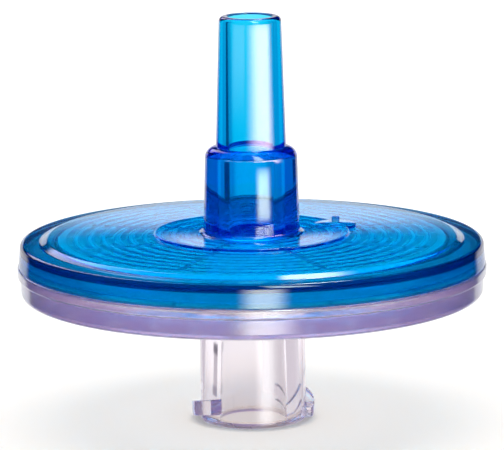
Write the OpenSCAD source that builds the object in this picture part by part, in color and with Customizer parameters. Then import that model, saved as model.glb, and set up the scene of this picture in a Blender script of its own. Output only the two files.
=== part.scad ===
// Syringe filter: two welded housings that clamp a filter membrane between them.
// The outlet housing carries the male slip cone and points up. The inlet housing
// carries the female lock hub, and the filter stands on that hub's end face.
// Origin: centre of the hub's end face. Units are millimetres.

/* [Outlet cone] */
// Outer diameter of the male cone at its tip
tip_d = 3.94; // [3.7:0.02:4.2]
// Length of the male cone above the collar
tip_len = 8.28; // [6:0.1:11]
// Diameter of the flow bore, from the tip down to the drainage chamber
flow_bore_d = 2.84; // [1.6:0.02:3.2]
// Radius on the tip's outer edge
tip_edge_r = 0.3; // [0.05:0.05:0.4]
// Change of diameter per unit of length on both luer cones
luer_taper = 0.06; // [0.05:0.005:0.07]

/* [Outlet collar] */
// Diameter of the collar at its top
collar_d = 5.84; // [5:0.02:7.2]
// Growth of the collar's diameter from its top to its foot
collar_draft = 0.28; // [0:0.02:0.5]
// Height of the collar above the boss
collar_len = 5.5; // [3:0.1:8]
// Radius on the collar's shoulder
shoulder_r = 0.68; // [0.1:0.02:0.7]
// Radius of the fillet at the collar's foot
foot_r = 0.3; // [0.1:0.05:0.5]

/* [Disc] */
// Diameter over the lip of the inlet housing
disc_d = 29.78; // [24:0.1:38]
// Distance that the outlet rim stands inside the lip
rim_inset = 0.09; // [0:0.01:0.3]
// Draft of the outlet rim over its height, on the radius
rim_draft = 0.09; // [0:0.01:0.3]
// Height of the outlet rim above the parting line
rim_h = 1.49; // [1.2:0.01:2.4]
// Radius on the rim's top edge
rim_edge_r = 0.28; // [0.05:0.01:0.4]
// Width of the flat ledge inside the rim's top edge
ledge_w = 1.27; // [0.8:0.01:2]
// Height of the raised plateau above the ledge
step_h = 0.25; // [0.1:0.01:0.5]
// Width of the bevel from the ledge up to the plateau
bevel_w = 0.46; // [0.2:0.01:0.8]
// Rise of the plateau from its edge to the boss
crown_h = 0.1; // [0:0.01:0.2]
// Height of the lip below the parting line
lip_h = 0.64; // [0.4:0.01:1]
// Distance that the inlet wall stands inside the lip
wall_inset = 0.21; // [0.05:0.01:0.5]
// Height of the inlet wall below the lip
wall_h = 1.32; // [1:0.01:2]
// Radius on the inlet wall's bottom edge
wall_edge_r = 0.4; // [0.05:0.05:0.6]
// Radius on the lip's two edges
lip_edge_r = 0.12; // [0.02:0.01:0.18]

/* [Boss] */
// Diameter of the low boss round the collar
boss_d = 12.36; // [9.6:0.02:15]
// Height of the boss above the plateau
boss_h = 0.18; // [0.05:0.01:0.3]
// Fall of the boss's top from its edge to the collar
dish_h = 0.06; // [0:0.01:0.12]
// Radius on the boss's top edge
boss_edge_r = 0.07; // [0.02:0.01:0.15]

/* [Gate mark] */
// Diameter of the gate pad
gate_pad_d = 2.66; // [1.5:0.02:3.5]
// Height of the pad's dome
gate_dome_h = 0.07; // [0.02:0.01:0.15]
// Distance of the gate from the axis
gate_r = 5.83; // [4.8:0.01:8]
// Direction of the gate, counter-clockwise from +X
gate_angle = 23; // [0:1:359]
// Diameter of the gate's stub
gate_stub_d = 0.5; // [0.3:0.02:0.8]
// Height of the gate's stub above its pad
gate_stub_h = 0.4; // [0.1:0.02:0.8]

/* [Joint and membrane] */
// Thickness of the outlet's skirt, on the radius
skirt_t = 2.3; // [1.5:0.02:2.8]
// Clearance between the skirt and the tongue inside it
joint_gap = 0.05; // [0.02:0.01:0.15]
// Width of the seat that the membrane lies on
seat_w = 0.69; // [0.5:0.01:1.5]
// Thickness of the membrane
membrane_t = 0.15; // [0.1:0.01:0.3]
// Clearance from the membrane's edge to the tongue's edge
membrane_inset = 0.15; // [0.05:0.05:0.3]

/* [Drainage ribs] */
// Thickness of the outlet plate above its grooves, at the plateau's edge
plate_t = 0.55; // [0.4:0.01:0.7]
// Height of the outlet's ribs
rib_h = 0.35; // [0.2:0.01:0.4]
// Distance from rib to rib
rib_pitch = 0.868; // [0.7:0.002:1.2]
// Width of a rib at its tip
rib_tip_w = 0.34; // [0.2:0.01:0.4]
// Width of a rib at its root
rib_root_w = 0.46; // [0.42:0.01:0.6]
// Number of radial channels through the ribs, an even number
channel_n = 8; // [4:2:12]
// Width of a radial channel
channel_w = 0.4; // [0.2:0.02:0.8]

/* [Inlet chamber] */
// Thickness of the inlet floor
floor_t = 1.25; // [0.9:0.01:1.6]
// Height of the inlet's ribs
inlet_rib_h = 0.4; // [0.2:0.01:0.6]
// Distance from rib to rib on the inlet floor, in outlet pitches
inlet_rib_step = 2; // [1:1:3]
// Diameter of the inlet hole through the floor
inlet_hole_d = 2.2; // [1.4:0.1:3]

/* [Inlet hub] */
// Length of the hub from its end face to the disc
hub_len = 8.15; // [6:0.05:12]
// Outer diameter of the hub
hub_d = 6.72; // [6.2:0.02:7.2]
// Diameter of the female cone at its mouth
socket_d = 4.3; // [4.2:0.01:4.6]
// Thickness left between the socket's end and the disc's underside
socket_end_t = 0.15; // [0:0.05:1]
// Chamfer at the socket's mouth
mouth_chamfer = 0.14; // [0.05:0.01:0.3]
// Radius on the outer edge of the hub's end face
hub_edge_r = 0.12; // [0.05:0.01:0.2]
// Radius of the fillet between the hub and the disc
hub_fillet_r = 0.25; // [0.1:0.05:0.5]

/* [Lock lugs] */
// Distance that a lug stands out of the hub
lug_out = 0.56; // [0.3:0.02:0.9]
// Width of a lug across its radial line
lug_w = 4.2; // [3:0.1:4.4]
// Height of a lug along the axis
lug_h = 1; // [0.6:0.05:1.4]
// Height of a lug's middle above the end face
lug_mid_z = 0.85; // [0.7:0.05:2]
// Lowest point of a lug above the end face
lug_foot_z = 0.25; // [0.1:0.05:0.6]
// Lead of the lock thread
lock_lead = 5; // [4:0.1:6]
// Direction of the first lug, counter-clockwise from +X
lug_angle = 14.75; // [0:0.25:180]

/* [Hidden] */
$fn = 160;
overlap = 0.1;                 // how far joined shapes run into each other
arc_steps = 8;                 // straight stretches in a rounded edge

// Heights, from the end face upwards
wall_z = hub_len;
lip_z = wall_z + wall_h;
parting_z = lip_z + lip_h;
ledge_z = parting_z + rim_h;
plateau_z = ledge_z + step_h;
crown_z = plateau_z + crown_h;
boss_z = crown_z + boss_h;
collar_z = boss_z - dish_h;
shoulder_z = collar_z + collar_len;
tip_z = shoulder_z + tip_len;
floor_z = wall_z + floor_t;
ceiling_z = plateau_z - plate_t;
clamp_z = ceiling_z - rib_h;
seat_z = clamp_z - membrane_t;
socket_end_z = hub_len - socket_end_t;

// Radii, from the lip inwards
lip_r = disc_d / 2;
rim_r = lip_r - rim_inset;
rim_top_r = rim_r - rim_draft;
wall_r = lip_r - wall_inset;
bevel_r = rim_top_r - ledge_w;
plateau_r = bevel_r - bevel_w;
skirt_in_r = rim_r - skirt_t;
tongue_r = skirt_in_r - joint_gap;
membrane_r = tongue_r - membrane_inset;
chamber_r = tongue_r - seat_w;
boss_r = boss_d / 2;
collar_r = collar_d / 2;
collar_foot_r = collar_r + collar_draft / 2;
tip_r = tip_d / 2;
cone_foot_r = tip_r + luer_taper / 2 * tip_len;
hub_r = hub_d / 2;
socket_r = socket_d / 2;
socket_end_r = socket_r - luer_taper / 2 * socket_end_z;
bore_r = flow_bore_d / 2;

// Edge radii, held inside the walls that they round
tip_edge = min(tip_edge_r, 0.8 * (tip_r - bore_r));
shoulder_edge = min(shoulder_r, 0.97 * (collar_r - cone_foot_r));
boss_edge = min(boss_edge_r, 0.8 * boss_h);
lip_edge = min(lip_edge_r, 0.8 * wall_inset, 0.4 * lip_h);

// The outermost rib leaves one whole groove inside the clamping ring
rib_outer_r = chamber_r - rib_pitch + rib_root_w / 2;
rib_inner_r = bore_r + rib_pitch;
rib_n = floor((rib_outer_r - rib_inner_r) / rib_pitch) + 1;
inlet_rib_n = floor((rib_outer_r - rib_inner_r) / (inlet_rib_step * rib_pitch)) + 1;
channel_len = 2 * (rib_outer_r + rib_pitch / 2);

// Lock lugs: the radius of their tips, the plane of their roots, and the thread's slope
lug_r = hub_r + lug_out;
lug_root_x = sqrt(pow(hub_r, 2) - pow(lug_w / 2, 2)) - overlap;
lug_tilt = atan(lock_lead / (PI * (hub_r + lug_r)));

// Sphere that the gate pad's dome is cut from
dome_r = (pow(gate_pad_d / 2, 2) + pow(gate_dome_h, 2)) / (2 * gate_dome_h);

// Points of an arc about c from angle a to angle b
function arc(c, r, a, b) =
    [for (i = [0:arc_steps]) c + r * [cos(a + (b - a) * i / arc_steps), sin(a + (b - a) * i / arc_steps)]];

// Outside of the outlet housing: skirt, rim, plateau, boss, collar and cone
module outlet_profile() {
    polygon(concat(
        [[0, ceiling_z], [chamber_r, ceiling_z], [chamber_r, clamp_z]],
        [[skirt_in_r, clamp_z], [skirt_in_r, parting_z], [rim_r, parting_z]],
        arc([rim_top_r - rim_edge_r, ledge_z - rim_edge_r], rim_edge_r, 0, 90),
        [[bevel_r, ledge_z], [plateau_r, plateau_z], [boss_r, crown_z]],
        arc([boss_r - boss_edge, boss_z - boss_edge], boss_edge, 0, 90),
        arc([collar_foot_r + foot_r, collar_z + foot_r], foot_r, 270, 180),
        arc([collar_r - shoulder_edge, shoulder_z - shoulder_edge], shoulder_edge, 0, 90),
        [[cone_foot_r, shoulder_z]],
        arc([tip_r - tip_edge, tip_z - tip_edge], tip_edge, 0, 90),
        [[0, tip_z]]
    ));
}

// Outside of the inlet housing: hub, wall, lip, tongue and the chamber inside it
module inlet_profile() {
    polygon(concat(
        [[0, 0]],
        arc([hub_r - hub_edge_r, hub_edge_r], hub_edge_r, 270, 360),
        arc([hub_r + hub_fillet_r, wall_z - hub_fillet_r], hub_fillet_r, 180, 90),
        arc([wall_r - wall_edge_r, wall_z + wall_edge_r], wall_edge_r, 270, 360),
        [[wall_r, lip_z]],
        arc([lip_r - lip_edge, lip_z + lip_edge], lip_edge, 270, 360),
        arc([lip_r - lip_edge, parting_z - lip_edge], lip_edge, 0, 90),
        [[tongue_r, parting_z], [tongue_r, seat_z], [chamber_r, seat_z]],
        [[chamber_r, floor_z], [0, floor_z]]
    ));
}

// Section of one tapered rib at radius r, from its root towards its tip
module rib_section(r, root_z, tip_z) {
    root_in = rib_root_w / 2;
    tip_in = rib_tip_w / 2;
    sunk_z = root_z + sign(root_z - tip_z) * overlap;
    polygon([
        [r - root_in, sunk_z], [r - root_in, root_z], [r - tip_in, tip_z],
        [r + tip_in, tip_z], [r + root_in, root_z], [r + root_in, sunk_z]
    ]);
}

// Slots through the ribs, each one a straight cut across the whole field
module channel_cuts(low_z, high_z) {
    for (i = [0:channel_n / 2 - 1])
        rotate([0, 0, (i + 0.5) * 360 / channel_n])
            translate([-channel_len / 2, -channel_w / 2, low_z])
                cube([channel_len, channel_w, high_z - low_z]);
}

// Concentric ribs, parted into sectors by the radial channels
module rib_field(n, pitch, root_z, tip_z) {
    difference() {
        rotate_extrude()
            for (i = [0:n - 1]) rib_section(rib_outer_r - i * pitch, root_z, tip_z);
        channel_cuts(min(root_z, tip_z) - 2 * overlap, max(root_z, tip_z) + 2 * overlap);
    }
}

// Domed pad with the short stub that is left where the plastic was fed in
module gate_mark() {
    pad_r = gate_pad_d / 2;
    dome_top_z = boss_z + gate_dome_h;
    rotate([0, 0, gate_angle]) translate([gate_r, 0, 0]) {
        rotate_extrude() polygon(concat(
            [[0, plateau_z - overlap], [pad_r, plateau_z - overlap]],
            arc([0, dome_top_z - dome_r], dome_r, acos(pad_r / dome_r), 90)
        ));
        translate([0, 0, boss_z]) cylinder(d = gate_stub_d, h = gate_dome_h + gate_stub_h);
    }
}

// Straight flow bore, from the tip down into the drainage chamber
module flow_bore() {
    translate([0, 0, ceiling_z - overlap]) cylinder(r = bore_r, h = tip_z - ceiling_z + 2 * overlap);
}

// Female cone, its mouth chamfer and the hole through the floor
module inlet_passage() {
    translate([0, 0, -overlap])
        cylinder(r1 = socket_r + luer_taper / 2 * overlap, r2 = socket_end_r, h = socket_end_z + overlap);
    translate([0, 0, -overlap])
        cylinder(r1 = socket_r + mouth_chamfer + overlap, r2 = socket_r, h = mouth_chamfer + overlap);
    translate([0, 0, socket_end_z - overlap])
        cylinder(d = inlet_hole_d, h = floor_z - socket_end_z + 2 * overlap);
}

// One lock lug on +X: upright sides, and top and bottom faces that follow the thread's lead
module lock_lug() {
    reach = lug_r + overlap;
    slab_h = lug_h * cos(lug_tilt);
    intersection() {
        translate([0, 0, lug_foot_z]) cylinder(r = lug_r, h = hub_len - lug_foot_z);
        translate([lug_root_x, -lug_w / 2, 0]) cube([reach, lug_w, hub_len]);
        translate([0, 0, lug_mid_z]) rotate([lug_tilt, 0, 0])
            translate([0, -reach, -slab_h / 2]) cube([reach, 2 * reach, slab_h]);
    }
}

module outlet_housing() {
    color([0.03, 0.42, 0.82, 0.9]) difference() {
        union() {
            rotate_extrude() outlet_profile();
            rib_field(rib_n, rib_pitch, ceiling_z, clamp_z);
            gate_mark();
        }
        flow_bore();
    }
}

module inlet_housing() {
    color([0.87, 0.85, 0.93, 0.6]) difference() {
        union() {
            rotate_extrude() inlet_profile();
            rib_field(inlet_rib_n, inlet_rib_step * rib_pitch, floor_z, floor_z + inlet_rib_h);
            for (side = [0, 180]) rotate([0, 0, lug_angle + side]) lock_lug();
        }
        inlet_passage();
    }
}

module membrane() {
    color([0.96, 0.96, 0.95]) translate([0, 0, seat_z]) cylinder(r = membrane_r, h = membrane_t);
}

inlet_housing();
membrane();
outlet_housing();
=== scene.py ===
"""Looks of a syringe filter: a blue outlet housing, a clear inlet housing and the membrane between them.

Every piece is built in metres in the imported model's frame. Sizes are given in millimetres and turned into
metres where a mesh is written.
"""

from __future__ import annotations

import logging
import math
from dataclasses import dataclass, field
from enum import Enum

import bmesh
import bpy
from mathutils import Matrix, Vector


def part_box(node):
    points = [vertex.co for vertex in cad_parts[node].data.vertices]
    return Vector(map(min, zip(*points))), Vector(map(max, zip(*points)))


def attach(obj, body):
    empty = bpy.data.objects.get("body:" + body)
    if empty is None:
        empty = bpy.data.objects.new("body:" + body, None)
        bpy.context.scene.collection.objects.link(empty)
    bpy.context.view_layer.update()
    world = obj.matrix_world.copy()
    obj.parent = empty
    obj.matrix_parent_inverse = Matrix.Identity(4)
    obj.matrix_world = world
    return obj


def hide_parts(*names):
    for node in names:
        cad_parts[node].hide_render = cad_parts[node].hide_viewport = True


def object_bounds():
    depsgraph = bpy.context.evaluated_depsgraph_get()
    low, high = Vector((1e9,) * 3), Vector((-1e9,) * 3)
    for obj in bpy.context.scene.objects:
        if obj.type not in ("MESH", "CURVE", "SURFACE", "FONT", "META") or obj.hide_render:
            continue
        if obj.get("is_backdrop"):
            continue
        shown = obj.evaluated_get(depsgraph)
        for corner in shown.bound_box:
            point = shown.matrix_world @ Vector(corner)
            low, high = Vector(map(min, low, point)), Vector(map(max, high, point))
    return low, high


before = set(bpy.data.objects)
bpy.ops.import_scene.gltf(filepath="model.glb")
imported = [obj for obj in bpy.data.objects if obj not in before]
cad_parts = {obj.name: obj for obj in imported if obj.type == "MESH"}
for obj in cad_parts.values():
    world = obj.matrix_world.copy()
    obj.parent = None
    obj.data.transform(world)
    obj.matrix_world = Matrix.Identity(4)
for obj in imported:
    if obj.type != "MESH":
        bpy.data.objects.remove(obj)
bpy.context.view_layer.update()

LOG = logging.getLogger("syringe_filter")
MM = 0.001
BODY = "root"
AXIS_R = 1e-6  # radius of a section's point on the axis, which the weld then closes
WHITE = (1.0, 1.0, 1.0)

Colour = tuple[float, float, float]
Point = tuple[float, float]
Span = tuple[float, float]


class Node(Enum):
    """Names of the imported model's nodes."""

    INLET = "inlet_housing"
    MEMBRANE = "membrane"
    OUTLET = "outlet_housing"


class Slot(Enum):
    """Material slots of the record."""

    BLUE = "blue_plastic"
    CLEAR = "clear_plastic"
    FILM = "membrane"


# --------------------------------------------------------------------------------------------------
# Node trees
# --------------------------------------------------------------------------------------------------


class NodeCanvas:
    """Adds nodes to one shader or geometry tree and links them."""

    def __init__(self, tree: bpy.types.NodeTree) -> None:
        """Keeps the tree that nodes are added to."""
        self.tree = tree

    def add(self, kind: str, inputs: dict | None = None, **settings: object) -> bpy.types.Node:
        """Adds one node.

        Args:
            kind: The node's type name.
            inputs: Values or output sockets by input name or index.
            settings: Properties set on the node.

        Returns:
            The new node.
        """
        node = self.tree.nodes.new(kind)
        for name, value in settings.items():
            setattr(node, name, value)
        for key, value in (inputs or {}).items():
            self.feed(node.inputs[key], value)
        return node

    def feed(self, socket: bpy.types.NodeSocket, value: object) -> None:
        """Links an output socket to an input, or sets the input's own value.

        Args:
            socket: The input.
            value: An output socket or a plain value.
        """
        if isinstance(value, bpy.types.NodeSocket):
            self.tree.links.new(value, socket)
        else:
            socket.default_value = value

    def math(self, operation: str, *values: object, clamp: bool = False) -> bpy.types.NodeSocket:
        """Adds a Math node.

        Args:
            operation: Blender's name of the operation.
            values: Up to three values or sockets.
            clamp: True to hold the result between 0 and 1.

        Returns:
            The node's output.
        """
        node = self.add("ShaderNodeMath", dict(enumerate(values)), operation=operation, use_clamp=clamp)
        return node.outputs[0]

    def ramp(self, value: object, low: float, high: float, start: object = 0.0, end: object = 1.0,
             smooth: bool = True) -> bpy.types.NodeSocket:
        """Maps a value from one range to another.

        Args:
            value: The value or socket to map.
            low: Value that gives start.
            high: Value that gives end.
            start: Result at low.
            end: Result at high.
            smooth: True for a smooth step, False for a straight one.

        Returns:
            The mapped value.
        """
        kind = "SMOOTHSTEP" if smooth else "LINEAR"
        node = self.add("ShaderNodeMapRange", {0: value, 1: low, 2: high, 3: start, 4: end},
                        interpolation_type=kind)
        return node.outputs[0]

    def above(self, value: bpy.types.NodeSocket, level: float, soft: float) -> bpy.types.NodeSocket:
        """Gives 1 where a value is above a level, with a soft edge."""
        return self.ramp(value, level - soft, level + soft)

    def below(self, value: bpy.types.NodeSocket, level: float, soft: float) -> bpy.types.NodeSocket:
        """Gives 1 where a value is below a level, with a soft edge."""
        return self.ramp(value, level - soft, level + soft, 1.0, 0.0)

    def mix_colour(self, factor: object, first: object, second: object, blend: str = "MIX") -> bpy.types.NodeSocket:
        """Mixes two colours.

        Args:
            factor: Share of the second colour.
            first: Colour at 0.
            second: Colour at 1.
            blend: Blender's name of the way they mix.

        Returns:
            The mixed colour.
        """
        # The Mix node's colour sockets have the same names as those of its other types, so they go by number.
        node = self.add("ShaderNodeMix", {0: factor}, data_type="RGBA", blend_type=blend)
        for key, value in ((6, first), (7, second)):
            self.feed(node.inputs[key], value)
        return node.outputs[2]


def add_sockets(tree: bpy.types.NodeTree, direction: str, kind: str, *names: str) -> None:
    """Adds named sockets of one type to a node group.

    Args:
        tree: The group.
        direction: INPUT or OUTPUT.
        kind: What the sockets carry, such as Float or Geometry.
        names: The sockets' names.
    """
    for name in names:
        tree.interface.new_socket(name, in_out=direction, socket_type="NodeSocket" + kind)


def new_material(name: str) -> tuple[bpy.types.Material, NodeCanvas]:
    """Makes a material without nodes.

    Args:
        name: Its name.

    Returns:
        The material and the canvas that adds its nodes.
    """
    made = bpy.data.materials.new(name)
    made.use_nodes = True
    made.node_tree.nodes.clear()
    return made, NodeCanvas(made.node_tree)


def rgba(colour: Colour) -> tuple[float, float, float, float]:
    """Adds a full alpha to a colour."""
    return (*colour, 1.0)


# --------------------------------------------------------------------------------------------------
# Finishes
# --------------------------------------------------------------------------------------------------


@dataclass(frozen=True)
class MouldedSurface:
    """Shared surface effect of polished mouldings: flow ripple, hairlines and a slightly uneven polish.

    The levels are the noise values between which a hairline or the polish comes up.
    """

    name: str = "moulded_surface"
    ripple_grain: float = 0.45
    polish_levels: Span = (0.35, 0.65)
    hairline_turn: tuple[float, float, float] = (0.35, 0.2, 0.7)
    hairline_squeeze: tuple[float, float, float] = (1.0, 9.0, 3.0)
    hairline_grain: float = 0.7
    hairline_levels: Span = (0.62, 0.7)
    hairline_rough: float = 0.05

    def group(self) -> bpy.types.NodeTree:
        """Builds the node group once.

        Returns:
            The group, with Height, Roughness and Mask outputs.
        """
        if self.name in bpy.data.node_groups:
            return bpy.data.node_groups[self.name]
        tree = bpy.data.node_groups.new(self.name, "ShaderNodeTree")
        add_sockets(tree, "INPUT", "Float", "Ripple Scale", "Hairline Scale", "Hairline Share", "Polish Low",
                    "Polish High")
        add_sockets(tree, "OUTPUT", "Float", "Height", "Roughness", "Mask")
        canvas = NodeCanvas(tree)
        given = canvas.add("NodeGroupInput").outputs
        place = canvas.add("ShaderNodeTexCoord").outputs["Object"]
        ripple = canvas.add("ShaderNodeTexNoise", {
            "Vector": place, "Scale": given["Ripple Scale"], "Detail": 2.0, "Roughness": self.ripple_grain,
        }).outputs[0]
        stretched = canvas.add("ShaderNodeMapping", {
            "Vector": place, "Rotation": self.hairline_turn, "Scale": self.hairline_squeeze,
        }).outputs[0]
        lines = canvas.add("ShaderNodeTexNoise", {
            "Vector": stretched, "Scale": given["Hairline Scale"], "Detail": 5.0, "Roughness": self.hairline_grain,
        }).outputs[0]
        hairlines = canvas.ramp(lines, *self.hairline_levels)
        worn = canvas.math("MULTIPLY", hairlines, given["Hairline Share"])
        height = canvas.math("SUBTRACT", ripple, worn)
        polish = canvas.ramp(ripple, *self.polish_levels, given["Polish Low"], given["Polish High"])
        rough = canvas.math("ADD", polish, canvas.math("MULTIPLY", worn, self.hairline_rough))
        canvas.add("NodeGroupOutput", {"Height": height, "Roughness": rough, "Mask": ripple})
        return tree


@dataclass(frozen=True)
class FinishBand:
    """Ring round a moulding's wall with its own tint and polish. Sizes in millimetres.

    It covers what lies between two heights and two radii; rough and coat add to the wall's own.
    """

    low_z: float
    high_z: float
    inner_r: float
    outer_r: float = 100.0
    tint: Colour = WHITE
    rough: float = 0.0
    coat: float = 0.0
    soft: float = 0.04

    def group(self) -> bpy.types.NodeTree:
        """Builds the group that all bands share.

        Returns:
            The group, with a Mask output.
        """
        if "finish_band" in bpy.data.node_groups:
            return bpy.data.node_groups["finish_band"]
        tree = bpy.data.node_groups.new("finish_band", "ShaderNodeTree")
        add_sockets(tree, "INPUT", "Float", "Low", "High", "Inner Radius", "Outer Radius", "Soft")
        add_sockets(tree, "OUTPUT", "Float", "Mask")
        canvas = NodeCanvas(tree)
        given = canvas.add("NodeGroupInput").outputs
        apart = canvas.add("ShaderNodeSeparateXYZ", {0: canvas.add("ShaderNodeTexCoord").outputs["Object"]}).outputs
        flat = canvas.add("ShaderNodeCombineXYZ", {0: apart["X"], 1: apart["Y"]}).outputs[0]
        radius = canvas.add("ShaderNodeVectorMath", {0: flat}, operation="LENGTH").outputs["Value"]
        mask = 1.0
        for value, edge, start, end in ((apart["Z"], "Low", 0.0, 1.0), (apart["Z"], "High", 1.0, 0.0),
                                        (radius, "Inner Radius", 0.0, 1.0), (radius, "Outer Radius", 1.0, 0.0)):
            before = canvas.math("SUBTRACT", given[edge], given["Soft"])
            after = canvas.math("ADD", given[edge], given["Soft"])
            mask = canvas.math("MULTIPLY", mask, canvas.ramp(value, before, after, start, end))
        canvas.add("NodeGroupOutput", {"Mask": mask})
        return tree

    def mask(self, canvas: NodeCanvas) -> bpy.types.NodeSocket:
        """Adds the band's mask to a material.

        Args:
            canvas: The material's tree.

        Returns:
            The mask, 1 on the band.
        """
        sizes = {"Low": self.low_z, "High": self.high_z, "Inner Radius": self.inner_r,
                 "Outer Radius": self.outer_r, "Soft": self.soft}
        given = {key: value * MM for key, value in sizes.items()}
        return canvas.add("ShaderNodeGroup", given, node_tree=self.group()).outputs["Mask"]


@dataclass(frozen=True)
class ClearPlastic:
    """A polished see-through plastic that takes its colour from the light's path inside it.

    Absorption is given per millimetre for red, green and blue. Polish is the roughness from the ripple's lows
    to its highs.
    """

    name: str
    absorption: Colour
    surface_tint: Colour
    polish: Span
    bands: tuple[FinishBand, ...]
    ior: float = 1.5
    ripple_per_mm: float = 0.35
    ripple_height_mm: float = 0.002
    hairlines_per_mm: float = 1.4
    hairline_share: float = 0.05
    coat_rough: float = 0.06

    def material(self) -> bpy.types.Material:
        """Builds the material once.

        Returns:
            The material.
        """
        if self.name in bpy.data.materials:
            return bpy.data.materials[self.name]
        made, canvas = new_material(self.name)
        detail = canvas.add("ShaderNodeGroup", {
            "Ripple Scale": self.ripple_per_mm / MM, "Hairline Scale": self.hairlines_per_mm / MM,
            "Hairline Share": self.hairline_share, "Polish Low": self.polish[0], "Polish High": self.polish[1],
        }, node_tree=MouldedSurface().group()).outputs
        tint = canvas.mix_colour(detail["Mask"], rgba(WHITE), rgba(self.surface_tint))
        rough, coat = detail["Roughness"], 0.0
        for band in self.bands:
            mask = band.mask(canvas)
            tint = canvas.mix_colour(mask, tint, rgba(band.tint), "MULTIPLY")
            rough = canvas.math("ADD", rough, canvas.math("MULTIPLY", mask, band.rough))
            coat = canvas.math("ADD", coat, canvas.math("MULTIPLY", mask, band.coat))
        bump = canvas.add("ShaderNodeBump", {
            "Strength": 1.0, "Distance": self.ripple_height_mm * MM, "Height": detail["Height"],
        }).outputs[0]
        shader = canvas.add("ShaderNodeBsdfPrincipled", {
            "Base Color": tint, "Roughness": rough, "IOR": self.ior, "Transmission Weight": 1.0, "Normal": bump,
            "Coat Weight": coat, "Coat Roughness": self.coat_rough, "Coat Normal": bump,
        })
        densest = max(self.absorption)
        body = canvas.add("ShaderNodeVolumeAbsorption", {
            "Color": rgba(tuple(1.0 - share / densest for share in self.absorption)),
            "Density": densest / MM,
        })
        canvas.add("ShaderNodeOutputMaterial", {"Surface": shader.outputs[0], "Volume": body.outputs[0]})
        return made


@dataclass(frozen=True)
class PorousFilm:
    """White membrane: matt, with fine pores and faint flow marks from casting."""

    name: str = "porous_film"
    colour: Colour = (0.86, 0.88, 0.94)
    pore_colour: Colour = (0.74, 0.77, 0.84)
    pores_per_mm: float = 9.0
    pore_depth_mm: float = 0.01
    pore_levels: Span = (0.1, 0.4)
    pore_strength: float = 0.6
    flow_marks_per_mm: float = 0.6
    flow_levels: Span = (0.3, 0.7)
    rough: Span = (0.85, 0.95)
    ior: float = 1.35

    def material(self) -> bpy.types.Material:
        """Builds the material.

        Returns:
            The material.
        """
        made, canvas = new_material(self.name)
        place = canvas.add("ShaderNodeTexCoord").outputs["Object"]
        grains = canvas.add("ShaderNodeTexVoronoi", {
            "Vector": place, "Scale": self.pores_per_mm / MM,
        }).outputs["Distance"]
        clouds = canvas.add("ShaderNodeTexNoise", {
            "Vector": place, "Scale": self.flow_marks_per_mm / MM, "Detail": 4.0,
        }).outputs[0]
        pores = canvas.ramp(canvas.math("MULTIPLY", grains, clouds), *self.pore_levels)
        bump = canvas.add("ShaderNodeBump", {
            "Strength": self.pore_strength, "Distance": self.pore_depth_mm * MM, "Height": pores,
        })
        shader = canvas.add("ShaderNodeBsdfPrincipled", {
            "Base Color": canvas.mix_colour(pores, rgba(self.pore_colour), rgba(self.colour)),
            "Roughness": canvas.ramp(clouds, *self.flow_levels, *self.rough), "IOR": self.ior,
            "Normal": bump.outputs[0],
        })
        canvas.add("ShaderNodeOutputMaterial", {"Surface": shader.outputs[0]})
        return made


BLUE_PLASTIC = ClearPlastic(
    name="blue_moulding", absorption=(4.0, 0.35, 0.065), surface_tint=(0.94, 0.98, 1.0), polish=(0.015, 0.04),
    bands=(
        # the rim's side, navy above and plain blue below, and the ledge inside its top edge;
        # the navy above and the darker ledge are painted shade
        FinishBand(low_z=11.08, high_z=12.0, inner_r=14.55, tint=(0.3, 0.02, 0.15)),
        FinishBand(low_z=10.0, high_z=11.08, inner_r=14.6, tint=(0.95, 0.8, 1.0)),
        FinishBand(low_z=11.5, high_z=11.68, inner_r=13.3, outer_r=14.5, tint=(0.85, 0.35, 0.55)),
        # the plateau, dimmed a little as painted shade, the collar's foot, the cone and the boss's edge
        FinishBand(low_z=11.75, high_z=12.05, inner_r=6.3, outer_r=13.0, tint=(1.0, 0.91, 0.89)),
        FinishBand(low_z=12.4, high_z=14.8, inner_r=2.0, outer_r=3.6, tint=(1.0, 1.0, 0.86)),
        FinishBand(low_z=17.65, high_z=26.0, inner_r=1.6, tint=(1.0, 0.88, 0.96)),
        FinishBand(low_z=12.26, high_z=12.9, inner_r=5.3, outer_r=6.3, tint=(0.5, 0.4, 0.65)),
        # the plate's underside between the ribs, and the weld, both matt
        FinishBand(low_z=11.25, high_z=11.35, inner_r=1.6, outer_r=12.0, rough=0.25, soft=0.01),
        FinishBand(low_z=9.9, high_z=11.2, inner_r=12.0, outer_r=12.7, rough=0.2),
    ),
)
CLEAR_PLASTIC = ClearPlastic(
    name="clear_moulding", absorption=(0.012, 0.021, 0.011), surface_tint=(0.985, 0.98, 1.0), polish=(0.02, 0.05),
    bands=(
        # the wall and the lip, both slightly frosted
        FinishBand(low_z=7.9, high_z=9.5, inner_r=13.9, tint=(1.0, 0.95, 0.98), rough=0.22, coat=1.0),
        FinishBand(low_z=9.5, high_z=10.3, inner_r=13.9, tint=(1.0, 0.99, 0.9), rough=0.12, coat=1.0),
        # the hub's outside, its socket and its end face; the grey of the outside and the socket is painted shade
        FinishBand(low_z=-0.5, high_z=8.1, inner_r=2.6, outer_r=5.0, tint=(0.97, 0.945, 0.965)),
        FinishBand(low_z=0.2, high_z=8.1, inner_r=1.7, outer_r=2.4, tint=(0.88, 0.87, 0.86), rough=0.05),
        FinishBand(low_z=-0.5, high_z=0.25, inner_r=1.7, outer_r=5.0, tint=(1.0, 0.88, 0.8), rough=0.25),
        # the weld
        FinishBand(low_z=9.2, high_z=11.0, inner_r=11.5, outer_r=12.7, rough=0.2),
    ),
)


# --------------------------------------------------------------------------------------------------
# Meshes
# --------------------------------------------------------------------------------------------------


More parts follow.
